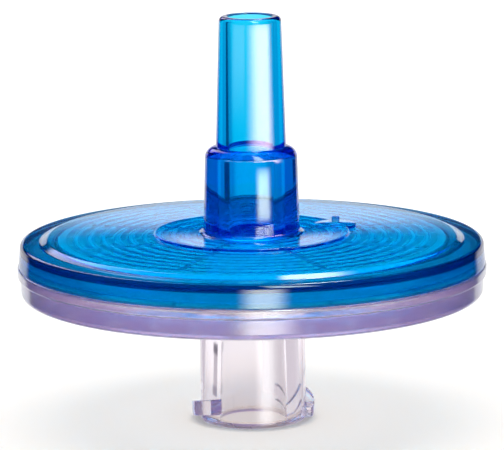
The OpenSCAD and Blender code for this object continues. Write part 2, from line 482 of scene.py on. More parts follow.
@dataclass
class Outline:
    """Half section of a turned piece, drawn counter-clockwise in radius and height, in millimetres.

    Each point also holds how far it moves along the axis where a rib stands (lift), and whether its column
    edges follow the straight channels between the ribs (spread).
    """

    NEAR = 0.02  # distance of a supporting point from its bend
    LONG_RUN = 0.24  # shortest run that is supported
    BEND = 1.5  # smallest turn that counts as a bend, in degrees

    points: list[Point] = field(default_factory=list)
    lifts: list[float] = field(default_factory=list)
    spreads: list[float] = field(default_factory=list)

    def to(self, radius: float, height: float, lift: float = 0.0, spread: float = 0.0) -> Outline:
        """Adds one point.

        Args:
            radius: Its distance from the axis.
            height: Its height.
            lift: How far it moves where a rib stands.
            spread: 1 where the columns follow the channels.

        Returns:
            The outline.
        """
        self.points.append((radius, height))
        self.lifts.append(lift)
        self.spreads.append(spread)
        return self

    def line(self, *points: Point) -> Outline:
        """Adds several points and returns the outline."""
        for point in points:
            self.to(*point)
        return self

    def arc(self, centre: Point, radius: float, start: float, end: float, steps: int = 10) -> Outline:
        """Adds an arc.

        Args:
            centre: The arc's centre.
            radius: Its radius.
            start: Angle of its first point, in degrees from the radius axis.
            end: Angle of its last point.
            steps: Number of straight stretches.

        Returns:
            The outline.
        """
        for step in range(steps + 1):
            angle = math.radians(start + (end - start) * step / steps)
            self.to(centre[0] + radius * math.cos(angle), centre[1] + radius * math.sin(angle))
        return self

    def corner(self, at: Point, radius: float, start: float, end: float, steps: int = 10) -> Outline:
        """Adds an arc that rounds a square corner, or fills one where it turns backwards.

        Args:
            at: The corner.
            radius: The arc's radius.
            start: Its first angle, in degrees.
            end: Its last angle, in degrees.
            steps: Number of steps.

        Returns:
            The outline.
        """
        middle = math.radians((start + end) / 2)
        centre = (at[0] - math.copysign(radius, math.cos(middle)), at[1] - math.copysign(radius, math.sin(middle)))
        return self.arc(centre, radius, start, end, steps)

    def stretch(self, start: Point, end: Point, step: float) -> Outline:
        """Adds a straight run that is divided into short steps.

        Args:
            start: The run's first point.
            end: Its last point.
            step: Longest step.

        Returns:
            The outline.
        """
        count = max(1, math.ceil(math.dist(start, end) / step))
        for index in range(count + 1):
            share = index / count
            self.to(start[0] + (end[0] - start[0]) * share, start[1] + (end[1] - start[1]) * share)
        return self

    def bend(self, index: int) -> float:
        """Angle that the outline turns by at a point.

        Args:
            index: The point's index.

        Returns:
            The angle in degrees.
        """
        count = len(self.points)
        before, here, after = (self.points[(index + step) % count] for step in (-1, 0, 1))
        first = math.atan2(here[1] - before[1], here[0] - before[0])
        second = math.atan2(after[1] - here[1], after[0] - here[0])
        return abs(math.degrees(math.remainder(second - first, 2 * math.pi)))

    def supported(self) -> Outline:
        """Adds points just beside the bends at both ends of long straight runs, so that the runs shade straight.

        Returns:
            A new outline.
        """
        made = Outline()
        count = len(self.points)
        for index, (start, lift, spread) in enumerate(zip(self.points, self.lifts, self.spreads)):
            made.to(*start, lift, spread)
            after = (index + 1) % count
            end, length = self.points[after], math.dist(start, self.points[after])
            if length < self.LONG_RUN:
                continue
            for share, bend_at in ((self.NEAR / length, index), (1.0 - self.NEAR / length, after)):
                if self.bend(bend_at) > self.BEND:
                    made.to(start[0] + (end[0] - start[0]) * share, start[1] + (end[1] - start[1]) * share,
                            lift + (self.lifts[after] - lift) * share, self.spreads[bend_at])
        return made

    def mesh(self, name: str) -> bpy.types.Mesh:
        """Writes the outline as a chain of vertices with its lifts and spreads as attributes.

        Args:
            name: The mesh's name.

        Returns:
            The mesh, in metres.
        """
        mesh = bpy.data.meshes.new(name)
        count = len(self.points)
        edges = [(index, (index + 1) % count) for index in range(count)]
        mesh.from_pydata([(r * MM, 0.0, z * MM) for r, z in self.points], edges, [])
        for label, values in (("lift", [v * MM for v in self.lifts]), ("spread", self.spreads)):
            mesh.attributes.new(label, "FLOAT", "POINT").data.foreach_set("value", values)
        return mesh


@dataclass(frozen=True)
class RibField:
    """Concentric drainage ribs, parted into sectors by straight radial channels. Sizes in millimetres."""

    outer_r: float
    pitch: float
    count: int
    height: float
    base_z: float
    root_w: float
    tip_w: float = 0.34
    round_r: float = 0.06
    round_steps: int = 3

    def draw(self, outline: Outline, inwards: bool) -> None:
        """Adds the ribs' section to an outline.

        Args:
            outline: The outline to add to.
            inwards: True when the outline runs from the outermost rib towards the axis.
        """
        order = range(self.count) if inwards else range(self.count - 1, -1, -1)
        side = -1.0 if inwards else 1.0
        for index in order:
            middle = self.outer_r - index * self.pitch
            for offset, share in self.flank():
                outline.to(middle + side * offset, self.base_z, share * self.height, 1.0)

    def flank(self) -> list[Point]:
        """Section of one rib with rounded tip corners.

        Returns:
            Pairs of an offset from the rib's middle and a share of its height.
        """
        soft = self.round_r / abs(self.height)
        half_root, half_tip = self.root_w / 2, self.tip_w / 2
        rising = [(-half_root, 0.0)]
        for step in range(self.round_steps + 1):
            turn = math.radians(90.0 * step / self.round_steps)
            rising.append((-half_tip + self.round_r * (1.0 - math.cos(turn)), 1.0 - soft * (1.0 - math.sin(turn))))
        return rising + [(-offset, share) for offset, share in reversed(rising)]


class SectorSweep:
    """Geometry Nodes tree that turns an outline round the axis, one sector at a time.

    One sector is a grid whose rows are the outline's points and whose columns go round the axis. In the rows
    of a rib field the columns follow the straight edges of the channels, and only the columns between two
    channels take the ribs' lift. The sectors are instances on points, realised and welded.
    """

    SIDE_COLUMNS = 2  # columns on each side of a sector that belong to the channels
    WELD = 0.0005  # distance within which the sectors' edges are welded, in millimetres
    HALF_STEP = 0.5  # half of the step from one row or column to the next

    def __init__(self) -> None:
        """Builds the tree with its named inputs."""
        self.tree = bpy.data.node_groups.new("sector_sweep", "GeometryNodeTree")
        add_sockets(self.tree, "INPUT", "Geometry", "Outline")
        add_sockets(self.tree, "INPUT", "Int", "Sectors", "Columns")
        add_sockets(self.tree, "INPUT", "Float", "Channel Width", "Weld Distance")
        add_sockets(self.tree, "INPUT", "Material", "Finish")
        add_sockets(self.tree, "OUTPUT", "Geometry", "Body")
        self.canvas = NodeCanvas(self.tree)
        self.given = self.canvas.add("NodeGroupInput").outputs
        self.build()

    def sample(self, source: bpy.types.NodeSocket, kind: str, index: bpy.types.NodeSocket) -> bpy.types.NodeSocket:
        """Reads a value of the outline's points by row number.

        Args:
            source: The field to read.
            kind: Its data type.
            index: The row number.

        Returns:
            The value.
        """
        return self.canvas.add("GeometryNodeSampleIndex", {
            "Geometry": self.given["Outline"], "Value": source, "Index": index,
        }, data_type=kind, domain="POINT").outputs[0]

    def named(self, label: str) -> bpy.types.NodeSocket:
        """Reads a float attribute of the outline."""
        node = self.canvas.add("GeometryNodeInputNamedAttribute", {"Name": label}, data_type="FLOAT")
        return node.outputs["Attribute"]

    def angle(self, column: bpy.types.NodeSocket, last: bpy.types.NodeSocket, half: bpy.types.NodeSocket,
              radius: bpy.types.NodeSocket, spread: bpy.types.NodeSocket) -> bpy.types.NodeSocket:
        """Angle of a grid point from its sector's middle.

        Args:
            column: The point's column.
            last: The last column.
            half: Half of the sector's angle.
            radius: The point's radius.
            spread: 1 where the columns follow the channels' edges, 0 where they are even.

        Returns:
            The angle in radians.
        """
        maths = self.canvas.math
        even = maths("MULTIPLY", half, maths("SUBTRACT", maths("MULTIPLY", maths("DIVIDE", column, last), 2.0), 1.0))
        channel = maths("ARCSINE", maths("DIVIDE", maths("MULTIPLY", self.given["Channel Width"], 0.5), radius))
        inner_last = maths("SUBTRACT", last, 2.0 * self.SIDE_COLUMNS)
        share = maths("DIVIDE", maths("SUBTRACT", column, float(self.SIDE_COLUMNS)), inner_last, clamp=True)
        ribbed = maths("MULTIPLY", maths("SUBTRACT", half, channel),
                       maths("SUBTRACT", maths("MULTIPLY", share, 2.0), 1.0))
        at_start = maths("LESS_THAN", column, self.HALF_STEP)
        at_end = maths("GREATER_THAN", column, maths("SUBTRACT", last, self.HALF_STEP))
        border = maths("SUBTRACT", at_end, at_start)
        inside = maths("SUBTRACT", 1.0, maths("ABSOLUTE", border))
        followed = maths("ADD", maths("MULTIPLY", border, half), maths("MULTIPLY", inside, ribbed))
        return maths("ADD", maths("MULTIPLY", spread, followed),
                     maths("MULTIPLY", maths("SUBTRACT", 1.0, spread), even))

    def build(self) -> None:
        """Adds the tree's nodes."""
        canvas, maths = self.canvas, self.canvas.math
        rows = canvas.add("GeometryNodeAttributeDomainSize", {"Geometry": self.given["Outline"]}).outputs[0]
        closed_rows = maths("ADD", rows, 1.0)
        last = maths("ADD", self.given["Columns"], 2.0 * self.SIDE_COLUMNS)
        grid = canvas.add("GeometryNodeMeshGrid", {
            "Size X": 1.0, "Size Y": 1.0, "Vertices X": maths("ADD", last, 1.0), "Vertices Y": closed_rows,
        }).outputs["Mesh"]
        # The added parts of a step keep a whole number from being rounded down to the one before.
        number = canvas.add("GeometryNodeInputIndex").outputs[0]
        column = maths("FLOOR", maths("DIVIDE", maths("ADD", number, self.HALF_STEP), closed_rows))
        row = maths("SUBTRACT", number, maths("MULTIPLY", column, closed_rows))
        row = maths("MULTIPLY", row, maths("LESS_THAN", row, maths("SUBTRACT", rows, self.HALF_STEP)))
        row = maths("ADD", row, self.HALF_STEP / 2)
        place = self.sample(canvas.add("GeometryNodeInputPosition").outputs[0], "FLOAT_VECTOR", row)
        lift = self.sample(self.named("lift"), "FLOAT", row)
        spread = self.sample(self.named("spread"), "FLOAT", row)
        apart = canvas.add("ShaderNodeSeparateXYZ", {0: place}).outputs
        half = maths("DIVIDE", math.pi, self.given["Sectors"])
        angle = self.angle(column, last, half, apart["X"], spread)
        after = maths("GREATER_THAN", column, self.SIDE_COLUMNS - self.HALF_STEP)
        before = maths("LESS_THAN", column, maths("SUBTRACT", last, self.SIDE_COLUMNS - self.HALF_STEP))
        on_rib = maths("MULTIPLY", after, before)
        height = maths("ADD", apart["Z"], maths("MULTIPLY", lift, on_rib))
        spot = canvas.add("ShaderNodeCombineXYZ", {
            "X": maths("MULTIPLY", apart["X"], maths("COSINE", angle)),
            "Y": maths("MULTIPLY", apart["X"], maths("SINE", angle)), "Z": height,
        }).outputs[0]
        tile = canvas.add("GeometryNodeSetPosition", {"Geometry": grid, "Position": spot}).outputs[0]
        seats = canvas.add("GeometryNodePoints", {"Count": self.given["Sectors"]}).outputs[0]
        turn = canvas.add("ShaderNodeCombineXYZ", {
            "Z": maths("MULTIPLY", maths("MULTIPLY", half, 2.0), canvas.add("GeometryNodeInputIndex").outputs[0]),
        }).outputs[0]
        copies = canvas.add("GeometryNodeInstanceOnPoints", {
            "Points": seats, "Instance": tile, "Rotation": turn,
        }).outputs[0]
        solid = canvas.add("GeometryNodeRealizeInstances", {0: copies}).outputs[0]
        welded = canvas.add("GeometryNodeMergeByDistance", {
            "Geometry": solid, "Distance": self.given["Weld Distance"],
        }).outputs[0]
        finished = canvas.add("GeometryNodeSetMaterial", {
            "Geometry": welded, "Material": self.given["Finish"],
        }).outputs[0]
        canvas.add("NodeGroupOutput", {0: finished})

    def run(self, outline: Outline, name: str, finish: bpy.types.Material, sectors: int = 8,
            columns: int = 28, channel_w: float = 0.4) -> bpy.types.Object:
        """Sweeps one outline into a closed body.

        Args:
            outline: The half section.
            name: The new object's name.
            finish: Its material.
            sectors: Number of sectors round the axis.
            columns: Columns between two channels.
            channel_w: Width of a channel in millimetres.

        Returns:
            The body as a plain mesh object at the origin.
        """
        carrier = add_object(outline.supported().mesh(name + "_outline"), name)
        modifier = carrier.modifiers.new("sweep", "NODES")
        modifier.node_group = self.tree
        values = {"Sectors": sectors, "Columns": columns, "Channel Width": channel_w * MM,
                  "Weld Distance": self.WELD * MM, "Finish": finish}
        for item in self.tree.interface.items_tree:
            if item.item_type == "SOCKET" and item.in_out == "INPUT" and item.name in values:
                modifier[item.identifier] = values[item.name]
        return settle(carrier)


def beside(corner: Point, out: float = 0.0, up: float = 0.0) -> Point:
    """Gives the point that lies a little outwards and upwards of a corner."""
    return corner[0] + out, corner[1] + up


def add_object(mesh: bpy.types.Mesh, name: str) -> bpy.types.Object:
    """Links a mesh to the scene as an object at the origin.

    Args:
        mesh: The mesh.
        name: The object's name.

    Returns:
        The object.
    """
    made = bpy.data.objects.new(name, mesh)
    bpy.context.scene.collection.objects.link(made)
    return made


def settle(made: bpy.types.Object) -> bpy.types.Object:
    """Turns an object with modifiers into a plain mesh with one material.

    Args:
        made: The object.

    Returns:
        The same object, without modifiers.
    """
    bpy.context.view_layer.update()
    shaped = made.evaluated_get(bpy.context.evaluated_depsgraph_get())
    mesh = bpy.data.meshes.new_from_object(shaped)
    mesh.name = made.name
    finish = next(kept for kept in mesh.materials if kept)
    mesh.materials.clear()
    mesh.materials.append(finish)
    mesh.polygons.foreach_set("material_index", [0] * len(mesh.polygons))
    made.modifiers.clear()
    old = made.data
    made.data = mesh
    bpy.data.meshes.remove(old)
    return made


def fuse(made: bpy.types.Object, *parts: bpy.types.Object) -> bpy.types.Object:
    """Joins closed parts to a closed body, so that no face is left inside it.

    Args:
        made: The body.
        parts: Parts that reach into it. They are removed.

    Returns:
        The body.
    """
    for part in parts:
        modifier = made.modifiers.new("fuse", "BOOLEAN")
        modifier.operation = "UNION"
        modifier.solver = "EXACT"
        modifier.object = part
        settle(made)
        bpy.data.objects.remove(part)
    return made


def smooth(made: bpy.types.Object, sharp_degrees: float = 32.0) -> bpy.types.Object:
    """Shades a body smooth, with hard edges where its faces turn sharply.

    Args:
        made: The body.
        sharp_degrees: Angle past which an edge is hard.

    Returns:
        The body.
    """
    made.data.shade_smooth()
    made.data.set_sharp_from_angle(angle=math.radians(sharp_degrees))
    return made


# --------------------------------------------------------------------------------------------------
# Sub-assemblies
# --------------------------------------------------------------------------------------------------


@dataclass
class FilterSizes:
    """Sizes that the three pieces share, in millimetres. Heights of the pieces come from the frame."""

    bore_r: float = 1.42
    rib_pitch: float = 0.868
    rib_root_w: float = 0.46
    drain_rib_h: float = 0.35
    channel_w: float = 0.4
    sectors: int = 8
    skirt_t: float = 2.3
    seat_w: float = 0.69
    joint_gap: float = 0.05
    press: float = 0.005  # how far faces that touch are set into each other

    def __post_init__(self) -> None:
        """Reads the heights and radii that the frame gives."""
        inlet_low, inlet_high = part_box(Node.INLET.value)
        outlet_low, outlet_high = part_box(Node.OUTLET.value)
        film_low, film_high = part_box(Node.MEMBRANE.value)
        self.base_z = inlet_low.z / MM
        self.lip_r = inlet_high.x / MM
        self.parting_z = outlet_low.z / MM
        self.rim_r = outlet_high.x / MM
        self.tip_z = outlet_high.z / MM
        self.seat_z = film_low.z / MM
        self.clamp_z = film_high.z / MM
        self.film_r = film_high.x / MM
        self.skirt_in_r = self.rim_r - self.skirt_t
        self.tongue_r = self.skirt_in_r - self.joint_gap
        self.chamber_r = self.tongue_r - self.seat_w
        self.ceiling_z = self.clamp_z + self.drain_rib_h

    def ribs(self, height: float, base_z: float, step: int = 1) -> RibField:
        """Sizes of the ribs on one face of the chamber.

        Args:
            height: Rise of the ribs along the axis, negative where they hang.
            base_z: Height of the face that carries them.
            step: 1 for a rib at each pitch, 2 for every second one.

        Returns:
            The rib field.
        """
        outer_r = self.chamber_r - self.rib_pitch + self.rib_root_w / 2
        inner_r = self.bore_r + self.rib_pitch
        pitch = step * self.rib_pitch
        count = math.floor((outer_r - inner_r) / pitch) + 1
        return RibField(outer_r, pitch, count, height, base_z, self.rib_root_w)


@dataclass
class OutletHousing:
    """Blue moulding: skirt, rim, stepped plateau, boss, collar, slip cone and drainage grid.

    Sizes in millimetres, angles in degrees.
    """

    shared: FilterSizes
    finish: ClearPlastic
    rim_h: float = 1.49
    rim_draft: float = 0.09
    rim_edge_r: float = 0.28
    ledge_w: float = 1.27
    step_h: float = 0.25
    bevel_w: float = 0.46
    crown_h: float = 0.1
    boss_r: float = 6.18
    boss_h: float = 0.18
    dish_h: float = 0.06
    boss_edge_r: float = 0.07
    soft_r: float = 0.05
    collar_top_r: float = 2.92
    collar_foot_r: float = 3.06
    collar_len: float = 5.5
    shoulder_r: float = 0.68
    shoulder_share: float = 0.97  # largest share of the shoulder's width that its edge takes
    foot_r: float = 0.3
    cone_foot_r: float = 2.218
    tip_r: float = 1.97
    tip_edge_r: float = 0.3
    gate_r: float = 5.83
    gate_angle: float = 23.0
    gate_root: float = 0.25
    gate_pad_r: float = 1.33
    gate_dome_h: float = 0.07
    gate_stub_r: float = 0.25
    gate_stub_h: float = 0.4
    gate_stub_edge_r: float = 0.06
    gate_stub_sink: float = 0.02

    @property
    def boss_z(self) -> float:
        """Height of the boss's face."""
        return self.shared.parting_z + self.rim_h + self.step_h + self.crown_h + self.boss_h

    def outline(self) -> Outline:
        """Draws the half section.

        Returns:
            The outline, counter-clockwise, starting at the skirt's inner foot.
        """
        s = self.shared
        ledge_z = s.parting_z + self.rim_h
        plateau_z = ledge_z + self.step_h
        crown_z = plateau_z + self.crown_h
        collar_z = self.boss_z - self.dish_h
        shoulder_z = collar_z + self.collar_len
        rim_top_r = s.rim_r - self.rim_draft
        bevel_r = rim_top_r - self.ledge_w
        plateau_r = bevel_r - self.bevel_w
        skirt_r = s.tongue_r - s.press
        soft = self.soft_r
        shoulder_edge = min(self.shoulder_r, self.shoulder_share * (self.collar_top_r - self.cone_foot_r))
        drawn = Outline()
        drawn.line((skirt_r, s.parting_z + soft))
        drawn.corner((skirt_r, s.parting_z), soft, 180, 270, 3)
        drawn.corner((s.rim_r, s.parting_z), soft, 270, 360, 3)
        drawn.corner((rim_top_r, ledge_z), self.rim_edge_r, 3, 90)
        # The runs between the corners stop a little short of them, so that each bend stays tight.
        bevel_foot, bevel_top, boss_foot = (bevel_r, ledge_z), (plateau_r, plateau_z), (self.boss_r, crown_z)
        drawn.line(beside(bevel_foot, out=0.09), bevel_foot, beside(bevel_foot, out=-0.07, up=0.03))
        drawn.line(beside(bevel_top, out=0.07, up=-0.03), bevel_top, beside(bevel_top, out=-0.09, up=0.002))
        drawn.stretch(beside(bevel_top, out=-0.6, up=0.008), beside(boss_foot, out=0.06), step=1.1)
        drawn.line(beside(boss_foot, out=0.01, up=0.01))
        boss_top, dish_end = (self.boss_r, self.boss_z), (self.collar_foot_r + self.foot_r, collar_z)
        drawn.corner(boss_top, self.boss_edge_r, 0, 90, 6)
        drawn.stretch(beside(boss_top, out=-0.4, up=-0.004), beside(dish_end, out=0.3, up=0.004), step=0.8)
        drawn.corner((self.collar_foot_r, collar_z), self.foot_r, 270, 180)
        collar_start = (self.collar_foot_r, collar_z + self.foot_r)
        collar_end = (self.collar_top_r, shoulder_z - shoulder_edge)
        drawn.stretch(beside(collar_start, out=-0.02, up=0.4), beside(collar_end, out=0.01, up=-0.3), step=1.2)
        drawn.corner((self.collar_top_r, shoulder_z), shoulder_edge, 0, 90, 14)
        cone_foot, cone_end = (self.cone_foot_r, shoulder_z), (self.tip_r, s.tip_z - self.tip_edge_r)
        drawn.line(beside(cone_foot, out=0.012, up=0.004), beside(cone_foot, up=0.02))
        drawn.stretch(beside(cone_foot, out=-0.01, up=0.35), beside(cone_end, out=0.012, up=-0.4), step=1.0)
        drawn.corner((self.tip_r, s.tip_z), self.tip_edge_r, 0, 90)
        bore_top, bore_foot = (s.bore_r, s.tip_z), (s.bore_r, s.ceiling_z)
        drawn.corner(bore_top, soft, 90, 180, 4)
        drawn.stretch(beside(bore_top, up=-0.5), beside(bore_foot, up=0.4), step=1.0)
        drawn.corner(bore_foot, soft, 180, 270, 4)
        s.ribs(-s.press - s.drain_rib_h, s.ceiling_z).draw(drawn, inwards=False)
        chamber_top = (s.chamber_r, s.ceiling_z)
        drawn.line(chamber_top, beside(chamber_top, up=-0.12))
        drawn.line((s.chamber_r, s.clamp_z - s.press), (skirt_r, s.clamp_z - s.press))
        return drawn

    def gate_mark(self, sweep: SectorSweep) -> bpy.types.Object:
        """Builds the domed pad and the stub of the gate.

        Args:
            sweep: The tree that turns outlines.

        Returns:
            The closed part, which reaches into the plate.
        """
        rise, half = self.gate_dome_h, self.gate_pad_r
        dome_r = (half * half + rise * rise) / (2 * rise)
        open_angle = math.degrees(math.asin(half / dome_r))
        stub_angle = math.degrees(math.asin(self.gate_stub_r / dome_r))
        centre_z = self.boss_z + rise - dome_r
        root_z = self.boss_z - self.gate_root
        drawn = Outline().line((AXIS_R, root_z), (half, root_z))
        drawn.arc((0.0, centre_z), dome_r, 90 - open_angle, 90 - stub_angle)
        top_z = self.boss_z + rise + self.gate_stub_h
        drawn.corner((self.gate_stub_r, top_z), self.gate_stub_edge_r, 0, 90, 4)
        drawn.line((AXIS_R, top_z - self.gate_stub_sink))
        made = sweep.run(drawn, "gate_mark", self.finish.material(), sectors=4, columns=12)
        turn = math.radians(self.gate_angle)
        made.data.transform(Matrix.Translation(Vector((math.cos(turn), math.sin(turn), 0.0)) * self.gate_r * MM))
        return made

    def build(self, sweep: SectorSweep) -> bpy.types.Object:
        """Builds the moulding.

        Args:
            sweep: The tree that turns outlines.

        Returns:
            The finished object.
        """
        s = self.shared
        made = sweep.run(self.outline(), "outlet_moulding", self.finish.material(), sectors=s.sectors,
                         channel_w=s.channel_w)
        return smooth(fuse(made, self.gate_mark(sweep)))


@dataclass
class InletHousing:
    """Clear moulding: hub with its socket and lock lugs, wall, lip, tongue and ribbed chamber floor.

    Sizes in millimetres, angles in degrees. The lock's lead is the rise of its thread in one turn.
    """

    shared: FilterSizes
    finish: ClearPlastic
    hub_len: float = 8.15
    hub_r: float = 3.36
    hub_edge_r: float = 0.12
    hub_fillet_r: float = 0.25
    socket_r: float = 2.15
    socket_end_r: float = 1.91
    socket_end_t: float = 0.15
    mouth_chamfer: float = 0.14
    hole_r: float = 1.1
    wall_r: float = 14.68
    wall_h: float = 1.32
    wall_edge_r: float = 0.4
    lip_edge_r: float = 0.12
    floor_t: float = 1.25
    rib_h: float = 0.4
    rib_step: int = 2  # only every second rib of the pitch is there
    lug_out: float = 0.56
    lug_w: float = 4.2
    lug_h: float = 1.0
    lug_mid_z: float = 0.85
    lug_foot_z: float = 0.25
    lug_root: float = 0.1
    lug_steps: int = 24
    lug_edge_r: float = 0.07
    lug_edge_turn: float = 0.6  # turn past which an edge is rounded, in radians
    lock_lead: float = 5.0
    lug_angle: float = 14.75
    soft_r: float = 0.05

    def outline(self) -> Outline:
        """Draws the half section.

        Returns:
            The outline, counter-clockwise, starting inside the mouth.
        """
        s = self.shared
        wall_z = s.base_z + self.hub_len
        lip_z = wall_z + self.wall_h
        floor_z = wall_z + self.floor_t
        end_z = wall_z - self.socket_end_t
        joint_z, seat_z = s.parting_z + s.press, s.seat_z + s.press
        soft = self.soft_r
        drawn = Outline()
        mouth, hub_foot, hub_top = (self.socket_r, s.base_z), (self.hub_r, s.base_z), (self.hub_r, wall_z)
        drawn.line(beside(mouth, up=self.mouth_chamfer), beside(mouth, out=self.mouth_chamfer))
        drawn.corner(hub_foot, self.hub_edge_r, 270, 360, 5)
        drawn.stretch(beside(hub_foot, up=0.5), beside(hub_top, up=-self.hub_fillet_r - 0.3), step=1.0)
        drawn.corner(hub_top, self.hub_fillet_r, 180, 90, 6)
        wall_foot, lip_foot = (self.wall_r, wall_z), (self.wall_r, lip_z)
        drawn.stretch(beside(hub_top, out=0.8), beside(wall_foot, out=-self.wall_edge_r - 0.3), step=2.5)
        drawn.corner(wall_foot, self.wall_edge_r, 270, 360)
        drawn.line(beside(lip_foot, up=-0.05), beside(lip_foot, out=0.02))
        drawn.corner((s.lip_r, lip_z), self.lip_edge_r, 280, 360, 5)
        drawn.corner((s.lip_r, joint_z), self.lip_edge_r, 0, 90, 5)
        tongue_foot, chamber_foot = (s.tongue_r, joint_z), (s.chamber_r, floor_z)
        drawn.line(beside(tongue_foot, out=0.05), beside(tongue_foot, up=0.05))
        drawn.corner((s.tongue_r, seat_z), soft, 0, 90, 3)
        drawn.corner((s.chamber_r, seat_z), soft, 90, 180, 3)
        drawn.line(beside(chamber_foot, up=0.2), beside(chamber_foot, out=-0.03, up=0.05),
                   beside(chamber_foot, out=-0.15))
        s.ribs(self.rib_h, floor_z, self.rib_step).draw(drawn, inwards=True)
        hole_top, hole_foot, end = (self.hole_r, floor_z), (self.hole_r, end_z), (self.socket_end_r, end_z)
        drawn.corner(hole_top, soft, 90, 180, 3)
        drawn.line(beside(hole_top, up=-0.4), beside(hole_foot, up=0.05), beside(hole_foot, out=0.05))
        drawn.line(beside(end, out=-0.06), beside(end, up=-0.06))
        drawn.stretch(beside(end, out=0.012, up=-0.4), beside(mouth, out=-0.008, up=0.4), step=1.0)
        return drawn

    def lug(self, turn_degrees: float) -> bpy.types.Object:
        """Builds one lock lug, whose upper and lower faces follow the thread's lead.

        Args:
            turn_degrees: Direction of the lug.

        Returns:
            The closed part, which reaches into the hub.
        """
        tip_r = self.hub_r + self.lug_out
        slope = self.lock_lead / (math.pi * (self.hub_r + tip_r))
        half_w, half_h = self.lug_w / 2, self.lug_h / 2
        root_x = math.sqrt(self.hub_r ** 2 - half_w ** 2) - self.lug_root
        made = bmesh.new()
        rings = []
        for step in range(self.lug_steps + 1):
            side = -half_w + self.lug_w * step / self.lug_steps
            low = max(self.lug_foot_z, self.lug_mid_z - half_h + slope * side)
            high = self.lug_mid_z + half_h + slope * side
            out = math.sqrt(tip_r ** 2 - side ** 2)
            rings.append([made.verts.new((x * MM, side * MM, z * MM))
                          for x, z in ((root_x, low), (out, low), (out, high), (root_x, high))])
        for near, far in zip(rings, rings[1:]):
            for index in range(4):
                after = (index + 1) % 4
                made.faces.new((near[index], near[after], far[after], far[index]))
        made.faces.new(reversed(rings[0]))
        made.faces.new(rings[-1])
        bmesh.ops.recalc_face_normals(made, faces=made.faces)
        outer = [edge for edge in made.edges if edge.calc_face_angle(0.0) > self.lug_edge_turn
                 and all(vert.co.x > (root_x + self.lug_root / 2) * MM for vert in edge.verts)]
        bmesh.ops.bevel(made, geom=outer, offset=self.lug_edge_r * MM, segments=3, profile=0.5, affect="EDGES")
        mesh = bpy.data.meshes.new("lock_lug")
        made.to_mesh(mesh)
        made.free()
        mesh.transform(Matrix.Rotation(math.radians(turn_degrees), 4, "Z"))
        mesh.materials.append(self.finish.material())
        return add_object(mesh, "lock_lug")

    def build(self, sweep: SectorSweep) -> bpy.types.Object:
        """Builds the moulding.

        Args:
            sweep: The tree that turns outlines.

        Returns:
            The finished object.
        """
        s = self.shared
        made = sweep.run(self.outline(), "inlet_moulding", self.finish.material(), sectors=s.sectors,
                         channel_w=s.channel_w)
        lugs = [self.lug(self.lug_angle + side) for side in (0.0, 180.0)]
        return smooth(fuse(made, *lugs))


@dataclass
class Membrane:
    """White filter disc, clamped at its edge and lying between the two rib fields. Sizes in millimetres."""

    shared: FilterSizes
    finish: PorousFilm
    edge_r: float = 0.03
    edge_zone_w: float = 0.3
    flat_r: float = 1.0

    def build(self, sweep: SectorSweep) -> bpy.types.Object:
        """Builds the disc.

        Args:
            sweep: The tree that turns outlines.

        Returns:
            The finished object.
        """
        s = self.shared
        below, above = (((self.flat_r, z), (s.film_r - self.edge_zone_w, z)) for z in (s.seat_z, s.clamp_z))
        drawn = Outline().line((AXIS_R, s.seat_z))
        drawn.stretch(*below, step=1.2)
        drawn.corner((s.film_r, s.seat_z), self.edge_r, 270, 360, 4)
        drawn.corner((s.film_r, s.clamp_z), self.edge_r, 0, 90, 4)
        drawn.stretch(*reversed(above), step=1.2)
        drawn.line((AXIS_R, s.clamp_z))
        made = sweep.run(drawn, "filter_membrane", self.finish.material(), sectors=s.sectors)
        return smooth(made)


# --------------------------------------------------------------------------------------------------
# Studio
# --------------------------------------------------------------------------------------------------


@dataclass(frozen=True)
class Viewpoint:
    """Where the camera stands. Lengths in millimetres, angles in degrees."""

    distance: float = 240.0
    elevation: float = 10.666
    roll: float = 0.498
    aim: tuple[float, float, float] = (0.021, 0.0, 12.494)
    lens: float = 270.4
    sensor: float = 36.0
    clip: Span = (10.0, 20000.0)

    def back(self) -> Vector:
        """Direction from the aim to the camera."""
        rise = math.radians(self.elevation)
        return Vector((0.0, -math.cos(rise), math.sin(rise)))

    def place(self) -> Vector:
        """Place of the camera in millimetres."""
        return Vector(self.aim) + self.back() * self.distance

    def camera(self) -> None:
        """Makes the camera and sets it as the scene's."""
        lens = bpy.data.cameras.new("camera")
        lens.sensor_width = self.sensor
        lens.lens = self.lens
        lens.clip_start, lens.clip_end = (length * MM for length in self.clip)
        made = bpy.data.objects.new("camera", lens)
        bpy.context.scene.collection.objects.link(made)
        made.location = self.place() * MM
        made.rotation_mode = "QUATERNION"
        roll = Matrix.Rotation(math.radians(-self.roll), 4, "Z")
        facing = (-self.back()).to_track_quat("-Z", "Y").to_matrix().to_4x4()
        made.rotation_quaternion = (facing @ roll).to_quaternion()
        bpy.context.scene.camera = made


def glow_card(name: str, rows: list[list[tuple[Vector, float]]], finish: bpy.types.Material,
              *hidden: str) -> bpy.types.Object:
    """Builds a card from rows of corners.

    Args:
        name: The card's name.
        rows: For each row its corners' places, in metres, and their glows.
        finish: The card's material, which reads the glow.
        hidden: Kinds of ray that don't see the card.

    Returns:
        The card.
    """
    spots, glows = zip(*(corner for row in rows for corner in row))
    over = len(rows[0])
    faces = [(first, first + 1, first + 1 + over, first + over)
             for row in range(len(rows) - 1) for first in range(row * over, row * over + over - 1)]
    mesh = bpy.data.meshes.new(name)
    mesh.from_pydata(spots, [], faces)
    mesh.attributes.new("glow", "FLOAT", "POINT").data.foreach_set("value", glows)
    mesh.materials.append(finish)
    card = add_object(mesh, name)
    for kind in hidden:
        setattr(card, "visible_" + kind, False)
    return card


